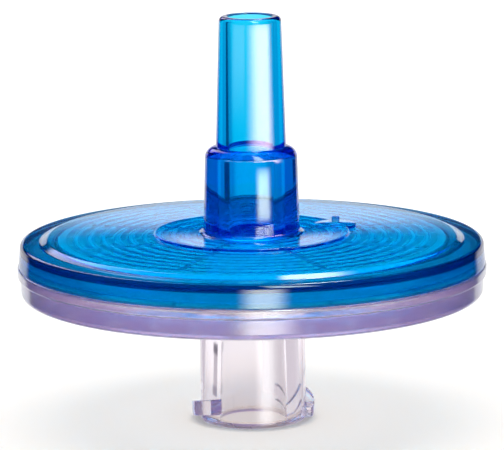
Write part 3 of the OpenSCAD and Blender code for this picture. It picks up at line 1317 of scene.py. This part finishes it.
@dataclass(frozen=True)
class ShapedSoftbox:
    """A curved glowing card, shaped so that it draws one clean highlight on a turned wall.

    The highlight is given on the wall itself: between two points of its section, in radius and height, and
    between two turns from the front, in degrees towards the right. Only polished surfaces show the card, at one
    mirroring of the view, and only from the distances in reach. Without a reach these are the ones that the
    highlight asks for, with some leeway. Soft holds the shares of the width and the height over which the left,
    right, lower and upper ends fade, and spill moves the lower and upper ends outwards.
    """

    name: str
    low: Point
    high: Point
    turns: Span
    glow: float
    soft: tuple[float, float, float, float] = (0.3, 0.3, 0.02, 0.02)
    spill: float = 0.0
    mirroring: int = 1
    reach: Span | None = None
    leeway: float = 0.4
    stand_r: float = 22.0
    colour: Colour = WHITE
    steps: tuple[int, int] = (32, 12)

    def mirrored(self, turn: float, share: float, eye: Vector) -> tuple[Vector, float]:
        """Follows the view from the camera off the wall to the card.

        Args:
            turn: Turn of the wall's point, in degrees.
            share: Share of the way up the highlight.
            eye: Place of the camera.

        Returns:
            The card's point, in metres, and its distance from the wall in millimetres.
        """
        angle = math.radians(turn)
        radius = self.low[0] + (self.high[0] - self.low[0]) * share
        height = self.low[1] + (self.high[1] - self.low[1]) * share
        tilt = math.atan2(self.low[0] - self.high[0], self.high[1] - self.low[1])
        outward = Vector((math.sin(angle), -math.cos(angle), 0.0))
        point = outward * radius + Vector((0.0, 0.0, height))
        normal = outward * math.cos(tilt) + Vector((0.0, 0.0, math.sin(tilt)))
        sight = (point - eye).normalized()
        way = sight - normal * (2.0 * sight.dot(normal))
        flat_way, flat_point = way.to_2d(), point.to_2d()
        square, across = flat_way.length_squared, flat_way.dot(flat_point)
        reach = (math.sqrt(across ** 2 + square * (self.stand_r ** 2 - flat_point.length_squared)) - across) / square
        return (point + way * reach) * MM, reach

    def build(self, eye: Vector) -> bpy.types.Object:
        """Builds the card.

        Args:
            eye: Place of the camera, in millimetres.

        Returns:
            The card.
        """
        across, up = self.steps
        rows, paths = [], []
        for row in range(up + 1):
            share = row / up
            rise = Vector((0.0, 0.0, (2 * share - 1) * self.spill * MM))
            corners = []
            for column in range(across + 1):
                turn = self.turns[0] + (self.turns[1] - self.turns[0]) * column / across
                spot, path = self.mirrored(turn, share, eye)
                glow = self.fade(column / across, *self.soft[:2]) * self.fade(share, *self.soft[2:])
                corners.append((spot + rise, glow))
                paths.append(path)
            rows.append(corners)
        reach = self.reach or (min(paths) - self.leeway, max(paths) + self.leeway)
        LOG.info("%s shows from %.1f to %.1f mm", self.name, *reach)
        return glow_card(self.name, rows, self.material(reach), "camera", "diffuse", "transmission", "shadow",
                         "volume_scatter")

    def fade(self, share: float, first: float, last: float) -> float:
        """Glow at a share of the way across, which falls to nothing at both ends.

        Args:
            share: Share of the way across.
            first: Share of the way that the first end's fade takes.
            last: Share of the way that the last end's fade takes.

        Returns:
            A value from 0 to 1.
        """
        level = 1.0
        for way_in in (share / first, (1.0 - share) / last):
            held = min(max(way_in, 0.0), 1.0)
            level *= held * held * (3.0 - 2.0 * held)
        return level

    def material(self, reach: Span) -> bpy.types.Material:
        """Builds the glow, which follows the card's own fade. To all other rays the card is see-through.

        Args:
            reach: Shortest and longest distance from which the card shows.

        Returns:
            The material.
        """
        made, canvas = new_material(self.name)
        level = canvas.add("ShaderNodeAttribute", attribute_name="glow").outputs["Fac"]
        path = canvas.add("ShaderNodeLightPath").outputs
        shown = canvas.math("COMPARE", path["Ray Depth"], float(self.mirroring), 0.5)
        shown = canvas.math("MULTIPLY", shown, canvas.math("GREATER_THAN", path["Ray Length"], reach[0] * MM))
        shown = canvas.math("MULTIPLY", shown, canvas.math("LESS_THAN", path["Ray Length"], reach[1] * MM))
        light = canvas.add("ShaderNodeEmission", {
            "Color": rgba(self.colour), "Strength": canvas.math("MULTIPLY", level, self.glow),
        })
        mix = canvas.add("ShaderNodeMixShader", {
            0: shown, 1: canvas.add("ShaderNodeBsdfTransparent").outputs[0], 2: light.outputs[0],
        })
        canvas.add("ShaderNodeOutputMaterial", {"Surface": mix.outputs[0]})
        return made


@dataclass(frozen=True)
class DarkFlag:
    """A curved card with a dark end that darkens one side of a see-through piece. Nothing else shows it.

    Its glow falls from open_glow at the first turn to dark_glow over a share of its width. Turns are in degrees
    from the direction behind the object, towards the right; sizes in millimetres.
    """

    name: str
    turns: Span
    heights: Span
    open_glow: float = 1.15
    dark_glow: float = 0.14
    dark_colour: Colour = (0.5, 0.6, 1.0)
    fade_share: float = 0.12
    stand_r: float = 60.0
    steps: int = 16

    def build(self) -> bpy.types.Object:
        """Builds the card.

        Returns:
            The card.
        """
        rows = []
        for height in self.heights:
            corners = []
            for step in range(self.steps + 1):
                share = step / self.steps
                turn = math.radians(self.turns[0] + (self.turns[1] - self.turns[0]) * share)
                level = min(share / self.fade_share, 1.0)
                spot = Vector((math.sin(turn) * self.stand_r, math.cos(turn) * self.stand_r, height))
                corners.append((spot * MM, self.open_glow + (self.dark_glow - self.open_glow) * level))
            rows.append(corners)
        return glow_card(self.name, rows, self.material(), "camera", "diffuse", "glossy", "shadow",
                         "volume_scatter")

    def material(self) -> bpy.types.Material:
        """Builds the glow, which turns to the dark colour as it falls.

        Returns:
            The material.
        """
        made, canvas = new_material(self.name)
        level = canvas.add("ShaderNodeAttribute", attribute_name="glow").outputs["Fac"]
        deep = canvas.ramp(level, self.dark_glow, self.open_glow, smooth=False)
        colour = canvas.mix_colour(deep, rgba(self.dark_colour), rgba(WHITE))
        shade = canvas.add("ShaderNodeEmission", {"Color": colour, "Strength": level})
        canvas.add("ShaderNodeOutputMaterial", {"Surface": shade.outputs[0]})
        return made


@dataclass(frozen=True)
class HighCard:
    """Card high above the object that only polished surfaces mirror, by its turns and heights in degrees."""

    turns: Span
    heights: Span
    colour: Colour
    soft: float = 3.0

    def over(self, canvas: NodeCanvas, turn: bpy.types.NodeSocket, height: bpy.types.NodeSocket,
             seen: bpy.types.NodeSocket) -> bpy.types.NodeSocket:
        """Lays the card over the rest of the surround.

        Args:
            canvas: The world's tree.
            turn: Turn of the ray.
            height: Height of the ray.
            seen: Colour without the card.

        Returns:
            The colour with the card.
        """
        mask = 1.0
        for value, (low, high) in ((turn, self.turns), (height, self.heights)):
            mask = canvas.math("MULTIPLY", mask, canvas.above(value, low, self.soft))
            mask = canvas.math("MULTIPLY", mask, canvas.below(value, high, self.soft))
        return canvas.mix_colour(mask, seen, rgba(self.colour))


@dataclass
class Surround:
    """White surround behind the object and a lamp overhead, as polished and see-through pieces show them.

    Turns are in degrees from the direction behind the object, towards the right; heights are in degrees
    above the horizon.
    """

    mirror_edge: float = 10.0
    mirror_soft: float = 0.9
    mirror_turn: float = 35.0
    mirror_turn_soft: float = 4.0
    below_soft: float = 2.0
    rear_turn: float = 75.0
    rear_turn_soft: float = 5.0
    rear_height: float = 8.0
    rear_height_soft: float = 3.0
    rear_glow: float = 1.15
    side_turns: Span = (15.0, 30.0)
    side_colour: Colour = (0.72, 0.68, 0.84)
    lamp_height: float = 50.0
    lamp_soft: float = 8.0
    lamp_glow: float = 7.5
    ambient: float = 0.5
    dark: Colour = (0.0, 0.02, 0.05)
    dark_through: Colour = (0.36, 0.29, 0.6)
    high_cards: tuple[HighCard, ...] = (
        HighCard(turns=(-34.0, -12.0), heights=(18.0, 54.0), colour=(2.3, 2.1, 2.5)),
        HighCard(turns=(18.0, 35.0), heights=(59.0, 74.0), colour=(13.0, 12.0, 11.0)),
        HighCard(turns=(6.5, 16.5), heights=(49.0, 58.0), colour=(16.0, 16.0, 14.0), soft=1.5),
        HighCard(turns=(146.0, 170.0), heights=(26.0, 80.0), colour=(9.0, 12.0, 11.0), soft=4.0),
    )

    def build(self) -> None:
        """Builds the surround as the scene's world."""
        world = bpy.data.worlds.new("studio")
        world.use_nodes = True
        world.node_tree.nodes.clear()
        bpy.context.scene.world = world
        canvas = NodeCanvas(world.node_tree)
        way = canvas.add("ShaderNodeTexCoord").outputs["Generated"]
        apart = canvas.add("ShaderNodeSeparateXYZ", {0: way}).outputs
        turn = canvas.math("DEGREES", canvas.math("ARCTAN2", apart["X"], apart["Y"]))
        height = canvas.math("DEGREES", canvas.math("ARCSINE", apart["Z"]))
        path = canvas.add("ShaderNodeLightPath").outputs
        ambient = rgba((self.ambient,) * 3)
        seen = canvas.mix_colour(path["Is Glossy Ray"], ambient, self.mirrored(canvas, turn, height))
        seen = canvas.mix_colour(path["Is Transmission Ray"], seen, self.through(canvas, turn, height))
        seen = canvas.mix_colour(path["Is Camera Ray"], seen, rgba(WHITE))
        light = canvas.add("ShaderNodeBackground", {"Color": seen, "Strength": 1.0})
        canvas.add("ShaderNodeOutputWorld", {"Surface": light.outputs[0]})

    def mirrored(self, canvas: NodeCanvas, turn: bpy.types.NodeSocket,
                 height: bpy.types.NodeSocket) -> bpy.types.NodeSocket:
        """What polished surfaces mirror: a low white card behind the object, the high cards, and darkness.

        Args:
            canvas: The world's tree.
            turn: Turn of the ray.
            height: Height of the ray.

        Returns:
            The colour.
        """
        low = canvas.below(height, self.mirror_edge, self.mirror_soft)
        near = canvas.below(canvas.math("ABSOLUTE", turn), self.mirror_turn, self.mirror_turn_soft)
        seen = canvas.mix_colour(canvas.math("MULTIPLY", low, near), rgba(self.dark), rgba(WHITE))
        for card in self.high_cards:
            seen = card.over(canvas, turn, height, seen)
        return seen

    def through(self, canvas: NodeCanvas, turn: bpy.types.NodeSocket,
                height: bpy.types.NodeSocket) -> bpy.types.NodeSocket:
        """What shows through the plastics: white below and behind, the lamp overhead, and darkness.

        Args:
            canvas: The world's tree.
            turn: Turn of the ray.
            height: Height of the ray.

        Returns:
            The colour.
        """
        low = canvas.below(height, 0.0, self.below_soft)
        aside = canvas.math("ABSOLUTE", turn)
        behind = canvas.below(aside, self.rear_turn, self.rear_turn_soft)
        behind = canvas.math("MULTIPLY", behind, canvas.below(height, self.rear_height, self.rear_height_soft))
        lamp = canvas.above(height, self.lamp_height, self.lamp_soft)
        white = canvas.math("MAXIMUM", low, behind)
        side = canvas.ramp(aside, *self.side_turns)
        card = canvas.mix_colour(side, rgba((self.rear_glow,) * 3), rgba(self.side_colour))
        around = canvas.mix_colour(white, rgba(self.dark_through), card)
        return canvas.mix_colour(lamp, around, rgba((self.lamp_glow,) * 3))


@dataclass(frozen=True)
class Floor:
    """Pale floor, see-through from below, that nothing mirrors. Lengths in millimetres.

    Round the object its glow is painted darker and warmer, a painted shadow tinted against the blue light that
    the plastics throw on the floor, and darker still in a ring round the object's foot, a painted contact shadow.
    Seen through the plastics the floor reaches only a little past the object.
    """

    size: float = 6000.0
    drop: float = 0.01
    greys: Span = (0.65, 0.67)
    clouds_per_mm: float = 0.03
    rough: float = 0.9
    glow: float = 0.6
    # near and shade tint the glow round the object: a painted shadow, warm against the blue light of the plastics
    near: Colour = (1.06, 0.99, 0.91)
    shade: Colour = (0.92, 0.835, 0.74)
    # foot is a painted contact shadow, a dark ring in the glow round the object's foot
    foot: Colour = (0.45, 0.44, 0.45)
    near_fade: Span = (7.0, 12.0)
    shade_fade: Span = (14.0, 30.0)
    contact_shadow_in: Span = (2.7, 3.3)
    contact_shadow_out: Span = (3.5, 4.3)
    clear_fade: Span = (43.0, 53.0)

    def build(self) -> bpy.types.Object:
        """Builds the floor just below the object.

        Returns:
            The floor.
        """
        half = self.size * MM / 2
        mesh = bpy.data.meshes.new("floor")
        mesh.from_pydata([(-half, -half, 0), (half, -half, 0), (half, half, 0), (-half, half, 0)], [], [(0, 1, 2, 3)])
        floor = add_object(mesh, "floor")
        floor.location.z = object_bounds()[0].z - self.drop * MM
        mesh.materials.append(self.material())
        floor.visible_glossy = False
        return floor

    def material(self) -> bpy.types.Material:
        """Builds the floor's finish.

        Returns:
            The material.
        """
        made, canvas = new_material("floor")
        place = canvas.add("ShaderNodeTexCoord").outputs["Object"]
        cloud = canvas.add("ShaderNodeTexNoise", {
            "Vector": place, "Scale": self.clouds_per_mm / MM, "Detail": 3.0,
        }).outputs[0]
        reach = canvas.add("ShaderNodeVectorMath", {0: place}, operation="LENGTH").outputs["Value"]
        near, shade, contact_shadow_in, contact_shadow_out, beyond = (
            canvas.ramp(reach, start * MM, end * MM)
            for start, end in (self.near_fade, self.shade_fade, self.contact_shadow_in, self.contact_shadow_out, self.clear_fade))
        # painted shadow: round the object the glow turns darker and warmer
        glow = canvas.mix_colour(near, rgba(self.near), rgba(self.shade))
        glow = canvas.mix_colour(shade, glow, rgba(WHITE))
        # painted contact shadow in the ring round the object's foot
        foot = canvas.math("MULTIPLY", contact_shadow_in, canvas.math("SUBTRACT", 1.0, contact_shadow_out))
        glow = canvas.mix_colour(foot, glow, rgba(self.foot))
        low, high = (rgba((grey,) * 3) for grey in self.greys)
        shader = canvas.add("ShaderNodeBsdfPrincipled", {
            "Base Color": canvas.mix_colour(cloud, low, high), "Roughness": self.rough, "Specular IOR Level": 0.0,
            "Emission Color": glow, "Emission Strength": self.glow,
        })
        seen_through = canvas.add("ShaderNodeLightPath").outputs["Is Transmission Ray"]
        from_below = canvas.add("ShaderNodeNewGeometry").outputs["Backfacing"]
        clear = canvas.math("MAXIMUM", canvas.math("MULTIPLY", beyond, seen_through), from_below)
        mix = canvas.add("ShaderNodeMixShader", {
            0: clear, 1: shader.outputs[0], 2: canvas.add("ShaderNodeBsdfTransparent").outputs[0],
        })
        canvas.add("ShaderNodeOutputMaterial", {"Surface": mix.outputs[0]})
        return made


@dataclass(frozen=True)
class Lamp:
    """Area light that faces the object and that nothing mirrors. Lengths in millimetres."""

    name: str = "top_softbox"
    centre: tuple[float, float, float] = (0.0, 60.0, 420.0)
    size: tuple[float, float] = (620.0, 520.0)
    watts: float = 1.3

    def build(self, aim: Vector) -> None:
        """Makes the light.

        Args:
            aim: The point that it faces, in millimetres.
        """
        light = bpy.data.lights.new(self.name, "AREA")
        light.shape = "RECTANGLE"
        light.size, light.size_y = (length * MM for length in self.size)
        light.energy = self.watts
        made = bpy.data.objects.new(self.name, light)
        bpy.context.scene.collection.objects.link(made)
        made.location = Vector(self.centre) * MM
        made.rotation_mode = "QUATERNION"
        made.rotation_quaternion = (aim * MM - made.location).to_track_quat("-Z", "Y")
        made.visible_camera = False
        made.visible_glossy = False
        made.visible_transmission = False


SOFTBOXES = (
    ShapedSoftbox(name="cone_softbox", low=(2.218, 17.57), high=(1.97, 25.55), turns=(-10.0, 44.0), glow=19.0,
                  soft=(0.5, 0.3, 0.02, 0.02), spill=0.4, colour=(1.0, 0.72, 0.66)),
    ShapedSoftbox(name="cone_fill", low=(2.17, 19.0), high=(1.97, 25.55), turns=(-36.0, 14.0), glow=1.7,
                  soft=(0.15, 0.1, 0.75, 0.02), spill=0.4, stand_r=23.5, colour=(1.0, 0.8, 0.6)),
    ShapedSoftbox(name="collar_softbox", low=(3.03, 13.35), high=(2.92, 16.9), turns=(4.0, 26.0), glow=14.0,
                  soft=(0.35, 0.35, 0.02, 0.3), spill=0.1, colour=(1.0, 1.15, 0.88)),
    ShapedSoftbox(name="foot_softbox", low=(2.98, 14.9), high=(2.9, 17.7), turns=(3.0, 28.0), glow=30.0,
                  soft=(0.35, 0.35, 0.02, 0.02), mirroring=2, reach=(8.0, 19.0), stand_r=22.3,
                  colour=(1.0, 1.1, 0.9)),
    ShapedSoftbox(name="rim_softbox", low=(14.80, 10.14), high=(14.71, 11.33), turns=(-4.0, 9.5), glow=12.0,
                  soft=(0.4, 0.4, 0.02, 0.02), spill=0.3, colour=(0.95, 1.0, 0.85)),
    ShapedSoftbox(name="wall_softbox", low=(14.68, 8.15), high=(14.68, 10.05), turns=(-6.0, 12.5), glow=8.5,
                  soft=(0.45, 0.45, 0.02, 0.02), spill=0.8, stand_r=40.0, colour=(1.0, 1.0, 0.9)),
    ShapedSoftbox(name="hub_softbox", low=(3.36, 0.2), high=(3.36, 7.9), turns=(0.0, 30.0), glow=8.0,
                  soft=(0.45, 0.5, 0.02, 0.02), spill=0.4, stand_r=40.0),
)

FLAGS = (
    DarkFlag(name="left_flag", turns=(-48.0, -88.0), heights=(1.5, 21.0), dark_glow=0.25,
             dark_colour=(0.4, 0.55, 1.0)),
    DarkFlag(name="hub_flag_right", turns=(9.0, 80.0), heights=(0.2, 6.0), open_glow=0.9, dark_glow=0.75,
             dark_colour=(1.0, 0.95, 1.0), fade_share=0.5, stand_r=8.1),
    DarkFlag(name="hub_flag_high", turns=(-50.0, -72.0), heights=(3.4, 4.1), open_glow=0.8, dark_glow=0.2,
             dark_colour=(0.9, 0.85, 1.0), fade_share=0.3, stand_r=8.0),
    DarkFlag(name="hub_flag_middle", turns=(-54.0, -72.0), heights=(1.25, 3.4), open_glow=0.8, dark_glow=0.6,
             dark_colour=(1.0, 0.95, 1.0), fade_share=0.2, stand_r=8.0),
    DarkFlag(name="hub_flag_low", turns=(-50.0, -72.0), heights=(0.6, 1.25), open_glow=0.8, dark_glow=0.4,
             dark_colour=(0.9, 0.85, 1.0), fade_share=0.3, stand_r=8.0),
)


@dataclass
class Studio:
    """Camera, floor, surround, lamp, softboxes that draw the long highlights, and dark flags."""

    view: Viewpoint = field(default_factory=Viewpoint)
    floor: Floor = field(default_factory=Floor)
    surround: Surround = field(default_factory=Surround)
    lamp: Lamp = field(default_factory=Lamp)
    tone: str = "Standard"
    bounces: int = 40
    glossy_bounces: int = 20
    diffuse_bounces: int = 6
    brightest_bounce: float = 12.0

    def build(self) -> None:
        """Builds the whole studio."""
        self.view.camera()
        self.floor.build()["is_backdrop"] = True
        self.surround.build()
        self.lamp.build(Vector(self.view.aim))
        for softbox in SOFTBOXES:
            softbox.build(self.view.place())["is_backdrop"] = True
        for flag in FLAGS:
            flag.build()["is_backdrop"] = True
        scene = bpy.context.scene
        scene.view_settings.view_transform = self.tone
        scene.cycles.max_bounces = self.bounces
        scene.cycles.transmission_bounces = self.bounces
        scene.cycles.glossy_bounces = self.glossy_bounces
        scene.cycles.diffuse_bounces = self.diffuse_bounces
        scene.cycles.sample_clamp_indirect = self.brightest_bounce
        scene.cycles.caustics_refractive = True
        scene.cycles.caustics_reflective = True


# --------------------------------------------------------------------------------------------------
# Assembly
# --------------------------------------------------------------------------------------------------


def place(piece: bpy.types.Object, node: Node, slot: Slot) -> None:
    """Ties a finished piece to the frame.

    Args:
        piece: The piece.
        node: The node that it stands for.
        slot: The record's slot that it stands for. Not used.
    """
    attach(piece, BODY)
    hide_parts(node.value)
    triangles = sum(len(face.vertices) - 2 for face in piece.data.polygons)
    LOG.info("%s: %d triangles, stands for %s", piece.name, triangles, node.value)


def main() -> None:
    """Builds the pieces and the studio."""
    logging.basicConfig(level=logging.INFO, format="%(name)s: %(message)s")
    sizes = FilterSizes()
    sweep = SectorSweep()
    place(InletHousing(sizes, CLEAR_PLASTIC).build(sweep), Node.INLET, Slot.CLEAR)
    place(Membrane(sizes, PorousFilm()).build(sweep), Node.MEMBRANE, Slot.FILM)
    place(OutletHousing(sizes, BLUE_PLASTIC).build(sweep), Node.OUTLET, Slot.BLUE)
    Studio().build()


if __name__ == "__main__":
    main()
